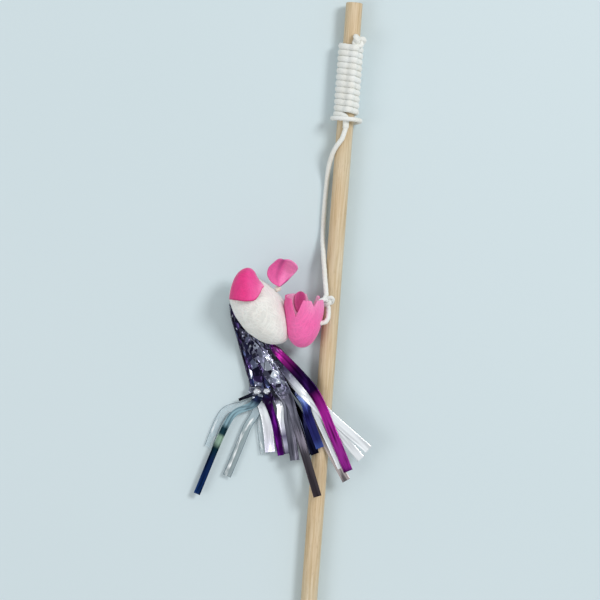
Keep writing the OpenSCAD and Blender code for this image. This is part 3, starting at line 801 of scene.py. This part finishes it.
def make_top_petal():
    foot = Vector((6.2, 8.9))
    left = [foot, Vector((3.3, 10.3)), Vector((1.4, 12.9)), Vector((1.7, 15.7)), Vector((3.4, 17.7))]
    right = [foot, Vector((8.3, 10.7)), Vector((10.1, 12.8)), Vector((12.3, 15.7)), Vector((11.9, 17.4))]
    crease = [foot, Vector((5.3, 11.2)), Vector((5.3, 13.6)), Vector((5.8, 16.2)), Vector((7.0, 19.0))]
    # The petal is cupped upwards, like a part of a ball round this middle
    middle, ball_r = Vector((6.1, 12.0, 20.2)), 8.2
    rim_full, crease_high, uneven = 0.8, 0.9, 0.15

    def shape(side, share):
        edge = through(right if side > 0 else left, 4 * share)
        p = through(crease, 4 * share).lerp(edge, abs(side))
        p.y += rim_full * math.sin(math.pi * abs(side)) * smooth_step(0.6, 1, share)
        z = middle.z - math.sqrt(max(1, ball_r ** 2 - (p - middle.xy).length_squared))
        z += crease_high * math.exp(-(side / 0.3) ** 2) * smooth_step(0, 0.8, share)
        z += uneven * wander((p.x, p.y, 0), 2, 11)
        # Painted light and shade: the right half is coloured paler, as lit from the right, and the left half
        # darker; the crease is darkened towards the tip, and the right edge near the foot is painted dark for
        # its curled-up underside in shade.
        tone = 0.34 + 0.45 * smooth_step(-0.1, 0.5, side) - 0.34 * math.exp(-(side / 0.16) ** 2) * share
        tone -= 0.8 * smooth_step(0.75, 1, side) * smooth_step(0.6, 0.3, share)
        return AT_LURE @ Vector((p.x, p.y, z)), tone

    pink = silk_cocoon("silk_petal_pink", (0, "#ae3c80"), (0.35, "#ee62aa"), (0.8, "#ff8bc6"), (1, "#ffa8d4"))
    finished("petal", laid_sheet(shape, 24, 30), "lure", pink, "silk_pink", "top_petal", thick=0.5)


def make_glue(name, node, centre, size, turn=0):
    uneven, uneven_size = 0.14, 0.8
    mesh = bmesh.new()
    bmesh.ops.create_icosphere(mesh, subdivisions=4, radius=1)
    place = AT_LURE @ Matrix.Translation(centre) @ turned(turn, "Z")
    for v in mesh.verts:
        grow = 1 + uneven * wander(v.co, uneven_size, len(name))
        v.co = place @ Vector([c * s * grow for c, s in zip(v.co, size)])
    finished(name, mesh, "lure", GLUE, "glue", node)


def make_lure_knot():
    centre = AT_TIP @ Vector(LURE_KNOT)
    course = knot_path(centre, Vector((1, -0.4, 0)), Vector((0, 0.3, 1)), size=1.75, wide=1.05, deep=1.5)
    finished("lure_knot", strand_tube(course, 0.74, taper=0.2), "lure", WHITE_CORD, "cord", "tie_knot")


make_cocoon()
make_cap()
make_cup()
make_inner_petal()
make_top_petal()
make_glue("petal_bead", "petal_glue", flank(-0.15, out=-9.8, z=10.4), size=(1.2, 1.15, 1.15))
make_glue("root_bar", "streamer_glue", flank(0, out=4.68, z=1.1), size=(5.6, 0.85, 0.85), turn=COCOON_TURN)
make_lure_knot()


# The streamers

# Colours of the facets in the crumpled starts of the strips: the foils' own colours, with painted
# reflections, dark facets and white glints
DARK_SHARDS = (
    "#0d0b18", "#24223a", "#100e1a", "#3a2c52", "#1c2648", "#6a6b7e", "#171222", "#2e2c45", "#d3d6e2",
)
GREY_SHARDS = ("#2a2838", "#5f5e6e", "#171420", "#85859a", "#43395a", "#9b9cac", "#34344a", "#d3d5de")
VIOLET_SHARDS = ("#1c0a30", "#3b1450", "#0f0819", "#5b2a78", "#2a2350", "#8f86a8")
KNOT_SHARDS = ("#f4f5f8", "#d6d8e0", "#fafafc", "#a9abb8", "#f7f7fa", "#fcfcfd", "#dfe1e8")
# Each strip: the share of the cocoon's half length where its root is, the places that it passes, in parts of
# REACH from WAIST, its width, its layer from the lowest, 0, how full its left and right sides are at the
# root, where its crumpled part ends, and its colours along it. Cover is how much of a mirror it is, or how
# well clear film hides what is behind it
STREAMERS = [
    dict(
        name="navy_long", root=-0.6, waist=(-0.1, -0.05), via=(-0.325, -0.3), tip=(-0.57, -1), width=2.4,
        layer=5, slot="foil_navy", full=(1.6, 4.2), crumpled=0.36,
        along=(
            (0, "#1a2444"), (0.38, "#22304e"), (0.43, "#86a2ae"), (0.52, "#a9c6cf"), (0.695, "#9dbcc5"),
            (0.715, "#24434e"), (0.74, "#24434e"), (0.752, "#a9c4a8"), (0.775, "#a3bda6"),
            (0.795, "#123038"), (0.84, "#16284f"), (1, "#1c3a70"),
        ),
    ),
    dict(
        name="gunmetal_long", root=0.12, waist=(0.16, 0.01), via=(0.3, -0.33), tip=(0.53, -0.93),
        width=3.0, layer=5, slot="foil_grey", full=(3.6, 1.6), shards=GREY_SHARDS, crumpled=0.34,
        along=(
            (0, "#4a4858"), (0.34, "#5c5968"), (0.5, "#7b7885"), (0.65, "#625f69"), (0.76, "#544f56"),
            (0.84, "#4a4246"), (1, "#44393d"),
        ),
    ),
    dict(
        name="magenta", root=0.8, waist=(0.41, 0.03), via=(0.62, -0.34), tip=(0.79, -0.68), width=3.4,
        layer=5, slot="foil_magenta", full=(1.5, 1.3), shards=VIOLET_SHARDS, crumpled=0.05,
        along=(
            (0, "#84206c"), (0.14, "#8c2076"), (0.2, "#340e40"), (0.25, "#1c0a30"), (0.34, "#220b35"),
            (0.4, "#8d1f7a"), (0.5, "#b02896"), (0.8, "#b736a4"), (0.95, "#a02c92"), (1, "#5c1a66"),
        ),
    ),
    dict(
        name="purple", root=-0.5, waist=(-0.02, -0.05), via=(0.083, -0.28), tip=(0.17, -0.59), width=2.4,
        layer=4, slot="foil_purple", full=(1.5, 3.6), crumpled=0.36,
        along=(
            (0, "#2c0a3c"), (0.4, "#2a0836"), (0.6, "#3a0b4c"), (0.75, "#5b1470"), (0.9, "#3d0a4c"),
            (1, "#4b1060"),
        ),
    ),
    dict(
        name="gunmetal_wide", root=0.15, waist=(0.15, -0.01), via=(0.22, -0.28), tip=(0.3, -0.62),
        width=3.4, layer=4, slot="foil_grey", full=(2.6, 2.2), shards=GREY_SHARDS, crumpled=0.35,
        along=(
            (0, "#5b5963"), (0.36, "#76737e"), (0.5, "#92909a"), (0.7, "#6b6873"), (0.85, "#55525d"),
            (1, "#6e6b76"),
        ),
    ),
    dict(
        name="silver_outer", root=0.7, waist=(0.35, 0.03), via=(0.59, -0.19), tip=(0.96, -0.47), width=3.2,
        layer=4, slot="foil_silver", cover=0.6, full=(2.4, 1.3), crumpled=0.22,
        along=(
            (0, "#6f6c88"), (0.2, "#7b7894"), (0.3, "#e8e9ee"), (0.42, "#fafafc"), (0.55, "#ececf1"),
            (0.7, "#fbfbfd"), (1, "#f7f7f9"),
        ),
    ),
    dict(
        name="silver_wide", root=-0.52, waist=(-0.07, -0.05), via=(0.02, -0.3), tip=(0.07, -0.57),
        width=3.7, layer=3, slot="foil_silver", cover=0.6, full=(1.3, 3.0), crumpled=0.4,
        along=((0, "#8d8ba0"), (0.4, "#e6e7ed"), (0.55, "#fbfbfd"), (0.8, "#f4f1f8"), (1, "#e3dcf0")),
    ),
    dict(
        name="silver_thin", root=0.05, waist=(0.1, -0.03), via=(0.15, -0.29), tip=(0.22, -0.57), width=3.2,
        layer=3, slot="foil_silver", cover=0.6, full=(3.8, 1.2), crumpled=0.42,
        along=(
            (0, "#8d8ba0"), (0.42, "#f2f2f6"), (0.6, "#fafafc"), (0.72, "#e6e2f0"), (0.8, "#6c6482"),
            (0.88, "#c9c5d8"), (1, "#4d4560"),
        ),
    ),
    dict(
        name="silver_inner", root=0.68, waist=(0.33, 0.01), via=(0.57, -0.23), tip=(0.9, -0.56), width=3.0,
        layer=3, slot="foil_silver", cover=0.6, full=(2.2, 1.4), crumpled=0.24,
        along=((0, "#77748e"), (0.3, "#dcdde4"), (0.5, "#f5f5f8"), (0.75, "#fbfbfc"), (1, "#f3f3f5")),
    ),
    dict(
        name="grey_clear", root=-0.55, waist=(-0.09, -0.07), via=(-0.17, -0.39), tip=(-0.31, -0.82),
        width=3.0, layer=2, slot="foil_clear", cover=0.6, full=(1.6, 2.4), crumpled=0.36,
        along=((0, "#7c8896"), (0.5, "#b9cdd6"), (0.68, "#9aacb0"), (1, "#8f9ea3")),
    ),
    dict(
        name="slate", root=0.1, waist=(0.14, -0.01), via=(0.28, -0.25), tip=(0.4, -0.56), width=3.0,
        layer=2, slot="foil_grey", full=(3.0, 1.4), crumpled=0.4,
        along=(
            (0, "#2f3040"), (0.45, "#5a6a98"), (0.58, "#3a3c50"), (0.7, "#5f6373"), (0.85, "#2e2d3a"),
            (1, "#55566a"),
        ),
    ),
    dict(
        name="navy", root=0.66, waist=(0.3, 0), via=(0.4, -0.23), tip=(0.52, -0.49), width=3.0, layer=2,
        slot="foil_navy", full=(2.4, 1.2), crumpled=0.34,
        along=(
            (0, "#1b1c3c"), (0.42, "#5a6a98"), (0.5, "#36407c"), (0.65, "#302d70"), (0.88, "#2a2d62"),
            (1, "#465698"),
        ),
    ),
    dict(
        name="clear", root=-0.48, waist=(-0.06, -0.07), via=(-0.03, -0.33), tip=(0.02, -0.59), width=3.2,
        layer=1, slot="foil_clear", cover=0.22, full=(1.4, 2.6), shards=GREY_SHARDS, crumpled=0.36,
        along=((0, "#8f9aa8"), (0.5, "#cfdde4"), (1, "#c2d3da")),
    ),
    dict(
        name="blue_black", root=0.12, waist=(0.16, -0.01), via=(0.33, -0.24), tip=(0.48, -0.55), width=3.0,
        layer=1, slot="foil_dark", full=(2.6, 2.0), crumpled=0.38,
        along=((0, "#11111c"), (0.45, "#3f4d78"), (0.55, "#16172c"), (0.75, "#1d1f3c"), (1, "#101020")),
    ),
    dict(
        name="white_thin", root=0.68, waist=(0.34, -0.01), via=(0.51, -0.28), tip=(0.72, -0.66), width=2.2,
        layer=1, slot="foil_silver", cover=0.6, full=(1.6, 1.4), crumpled=0.3,
        along=((0, "#a8aab4"), (0.4, "#eef0f3"), (1, "#fafafb")),
    ),
    dict(
        name="clear_arc", root=-0.62, waist=(-0.12, -0.04), via=(-0.38, -0.24), tip=(-0.5, -0.57),
        width=3.0, layer=0, slot="foil_clear", cover=0.18, full=(1.2, 2.2), crumpled=0.36,
        along=((0, "#5d7688"), (0.5, "#cfe0e8"), (1, "#bdd3de")),
    ),
    dict(
        name="brown_black", root=0.08, waist=(0.11, -0.03), via=(0.26, -0.3), tip=(0.42, -0.57), width=2.6,
        layer=0, slot="foil_dark", full=(2.6, 2.2), crumpled=0.38,
        along=((0, "#0f0c0d"), (0.5, "#3b3336"), (0.8, "#2b2427"), (1, "#3a3034")),
    ),
    dict(
        name="brown_grey", root=0.66, waist=(0.3, -0.01), via=(0.5, -0.33), tip=(0.78, -0.77), width=3.0,
        layer=0, slot="foil_grey", full=(2.2, 1.4), crumpled=0.3,
        along=((0, "#4a4a5c"), (0.45, "#6d6a78"), (0.7, "#6a5c58"), (0.82, "#c2b2ac"), (1, "#cbb9b5")),
    ),
]
# Where the strips are gathered, from the lure's middle, and how far below that the longest one ends
WAIST, REACH = Vector((4.5, -28.6, 0)), 40
LAYER_H = 0.5
# Height of the dowel's top where it passes the waist
ROD_TOP = 7.24
FILM_THICK = 0.05
# How deep the film is crumpled, coarsely and finely, bowed across, rippled along, and swayed sideways
COARSE, FINE, BOW, RIPPLE, SWAY = 0.255, 0.165, 0.16, 0.06, 0.25


def ground(x):
    """Height of the lowest streamers: over the table, and then over the dowel that they cross."""
    on_table, on_rod = 0.8, ROD_TOP + 0.6
    return on_table + (on_rod - on_table) * smooth_step(5.5, 21, x)


def make_streamer(
    seed, name, root, waist, via, tip, width, layer, slot, full, crumpled, along, shards=DARK_SHARDS,
    cover=1.0,
):
    # What a strip has of its width at the root, where its sides are then spread, and at its very start
    gathered, pinched = 0.55, 0.62
    # The root lies just inside the cocoon's edge, as a share of its half width there
    inside = 0.97
    points = [flank(root, inside * COCOON_R * math.sqrt(1 - root * root), 0)]
    points += [WAIST + REACH * Vector((x, y, 0)) for x, y in (waist, via, tip)]
    bowed_up = 1 if seed % 2 else -1

    def shape(side, share):
        """Crumpled and spread at the root, and a smooth ribbon, bowed across, further on."""
        t = 3 * share
        p = through(points, t)
        ahead = (through(points, min(3, t + 0.01)) - through(points, max(0, t - 0.01))).normalized()
        across = Vector((-ahead.y, ahead.x, 0))
        loose = smooth_step(crumpled + 0.08, crumpled - 0.1, share)
        wide = width / 2 * (gathered + (1 - gathered) * min(1, t))
        # The left side lies towards -across
        spread = full[1] if side < 0 else full[0]
        wide *= 1 + (spread - 1) * smooth_step(0.5, 0.12, share)
        start = smooth_step(0, 0.07, share + 0.01 * wander((side * 2, seed, 0), 1, seed))
        wide *= pinched + (1 - pinched) * start
        p = p - across * side * wide
        place = (p.x, p.y, 3 * seed)
        rumple = COARSE * wander(place, 1.1, seed) + FINE * wander(place, 0.5, seed + 1)
        bow = BOW * (side * side - 0.4) * bowed_up + RIPPLE * wander((3 * share, 0, 0), 0.2, seed)
        p += across * loose * SWAY * wander((8 * share, 0, 0), 0.5, seed + 2)
        p.z = ground(p.x) + LAYER_H * layer + loose * rumple + (1 - loose) * bow
        return AT_LURE @ p, share

    make = clear_film if slot == "foil_clear" else metallised_foil
    film = make("film_" + name, along, shards, (crumpled - 0.05, crumpled + 0.05), seed, cover)
    mesh = laid_sheet(shape, 18, 130, (width, lengths(points)[-1]))
    finished("foil_" + name, mesh, "streamers", film, slot, "streamer_" + name, thick=FILM_THICK)


for seed, row in enumerate(STREAMERS):
    make_streamer(seed, **row)


# The foil band round the streamers

BAND_CRUMPLE = (0.1, 0.5)


def band_piece(name, mesh, material, thick=0):
    finished(name, mesh, "streamers", material, "foil_silver", "streamer_band", thick=thick)


def make_band():
    """A strip of foil tied round the left-hand streamers."""
    foil = metallised_foil(
        "film_band", (
            (0, "#e6e8ee"), (0.2, "#f4f5f8"), (0.27, "#4b4a60"), (0.36, "#4b4a60"), (0.42, "#d2d4dd"),
            (1, "#e2e4ea"),
        ), GREY_SHARDS, BAND_CRUMPLE, seed=31,
    )
    corners = [
        (-3.6, 0.4), (-3.6, 3.6), (-2.9, 3.9), (2.9, 3.9), (3.6, 3.6), (3.6, 0.4), (2.9, 0.1), (-2.9, 0.1),
    ]
    middle, half_wide = Vector((1.4, -29.3, 0.1)), 1.25
    ragged, crumple = 0.25, 0.12
    loop = [middle + Vector((x, 0, z)) for x, z in corners]

    def shape(side, share):
        t = share * len(loop)
        i = int(t) % len(loop)
        p = loop[i].lerp(loop[(i + 1) % len(loop)], t - int(t))
        p.y += half_wide * side * (1 - ragged * abs(wander((share * 20, 0, 0), 1, 3)))
        p.z += crumple * wander(p, 0.9, 4)
        return AT_LURE @ p, share

    band_piece("foil_band", laid_sheet(shape, 10, 120, (2.5, 20)), foil, FILM_THICK)


def make_band_end():
    """The end of the band, which sticks out to the left."""
    dark = metallised_foil(
        "film_band_end", ((0, "#d6d8df"), (0.6, "#8a8c9a"), (0.7, "#2a2c3c"), (1, "#15161f")), DARK_SHARDS,
        BAND_CRUMPLE, seed=33,
    )
    start, tip, across = Vector((0.6, -30.2, 4.2)), Vector((-5.6, -33.2, 3.1)), Vector((-0.35, 0.94, 0))
    half_wide, narrowing, bow, crumple = 0.75, 0.25, 0.3, 0.25

    def shape(side, share):
        p = start.lerp(tip, share) + across * side * (half_wide - narrowing * share)
        p.z += bow * side * side + crumple * wander((p.x, p.y, 0), 0.9, 9)
        return AT_LURE @ p, 0.6 + 0.4 * share

    band_piece("foil_band_end", laid_sheet(shape, 8, 40, (1.4, 7)), dark, FILM_THICK)


def make_band_knots():
    """The two knots of the band, crumpled small on top of it."""
    # The knots' silver foil is coloured near white and made half a mirror: the silver's own colour, with
    # painted highlight for the glare on its crumpled facets
    white = metallised_foil(
        "film_band_knots", ((0, "#f4f5f8"), (1, "#fafafc")), KNOT_SHARDS, BAND_CRUMPLE, seed=32, mirror=0.5,
    )
    on_band, flat, coarse, fine = 4.15, 0.62, 0.35, 0.15
    for i, (x, y, size) in enumerate(((0.9, -29.6, 1.25), (4.3, -29.2, 1.1))):
        mesh = bmesh.new()
        mesh.verts.layers.float.new("dye_and_shade")
        bmesh.ops.create_icosphere(mesh, subdivisions=4, radius=1)
        for v in mesh.verts:
            v.co *= 1 + coarse * wander(v.co, 0.6, 40 + i) + fine * wander(v.co, 0.25, 44 + i)
            squashed = Vector((v.co.x * size, v.co.y * size * 0.8, v.co.z * flat))
            v.co = AT_LURE @ (Vector((x, y, on_band)) + squashed)
        band_piece("foil_band_knot_%d" % (i + 1), mesh, white)


make_band()
make_band_end()
make_band_knots()


# Floor, light and world

LOOKED_AT = Vector((0, 0.09, 0))


def make_stage():
    mesh = bmesh.new()
    bmesh.ops.create_grid(mesh, x_segments=1, y_segments=1, size=3)
    data = bpy.data.meshes.new("floor")
    mesh.to_mesh(data)
    mesh.free()
    floor = new_object("floor", data)
    # Matt painted board: plain and pale, so that white cord and clear film still show on it
    material, tree = new_material("painted_board", {"Roughness": 0.9})
    patches = pattern(tree, 400, 400, 400)
    dress(tree, add(tree, "ValToRGB", {}, {"Fac": patches}, [(0.3, "#cfdfe4"), (0.7, "#d4e2e7")]))
    data.materials.append(material)


def make_lamp(name, place, size, watts):
    data = bpy.data.lights.new(name, "AREA")
    data.shape, data.size, data.energy = "DISK", size, watts
    lamp = new_object(name, data)
    lamp.location = place
    lamp.rotation_euler = (LOOKED_AT - Vector(place)).to_track_quat("-Z", "Y").to_euler()


def make_world():
    """An even grey light, which the camera, mirrors and clear film see as the pale board."""
    strength = 1.03
    world = bpy.data.worlds.new("studio")
    bpy.context.scene.world = world
    world.use_nodes = True
    tree = world.node_tree
    path = add(tree, "LightPath").outputs
    seen = add(tree, "Math", {}, {0: path["Is Camera Ray"], 1: path["Is Glossy Ray"]}, operation="MAXIMUM")
    seen = add(tree, "Math", {}, {0: seen, 1: path["Is Transmission Ray"]}, operation="MAXIMUM")
    shade = add(tree, "MixRGB", {"Color1": linear("#bcbcbc"), "Color2": linear("#dfe9ec")}, {"Fac": seen})
    background = tree.nodes["Background"].inputs
    tree.links.new(socket_of(shade), background["Color"])
    background["Strength"].default_value = strength


make_stage()
make_world()
make_lamp("key_lamp", (0.75, 0.65, 1.15), size=0.45, watts=9.6)
make_lamp("fill_lamp", (-0.9, -0.2, 1.0), size=0.7, watts=3.2)

bpy.context.scene.view_settings.view_transform = "Standard"

bpy.context.view_layer.update()
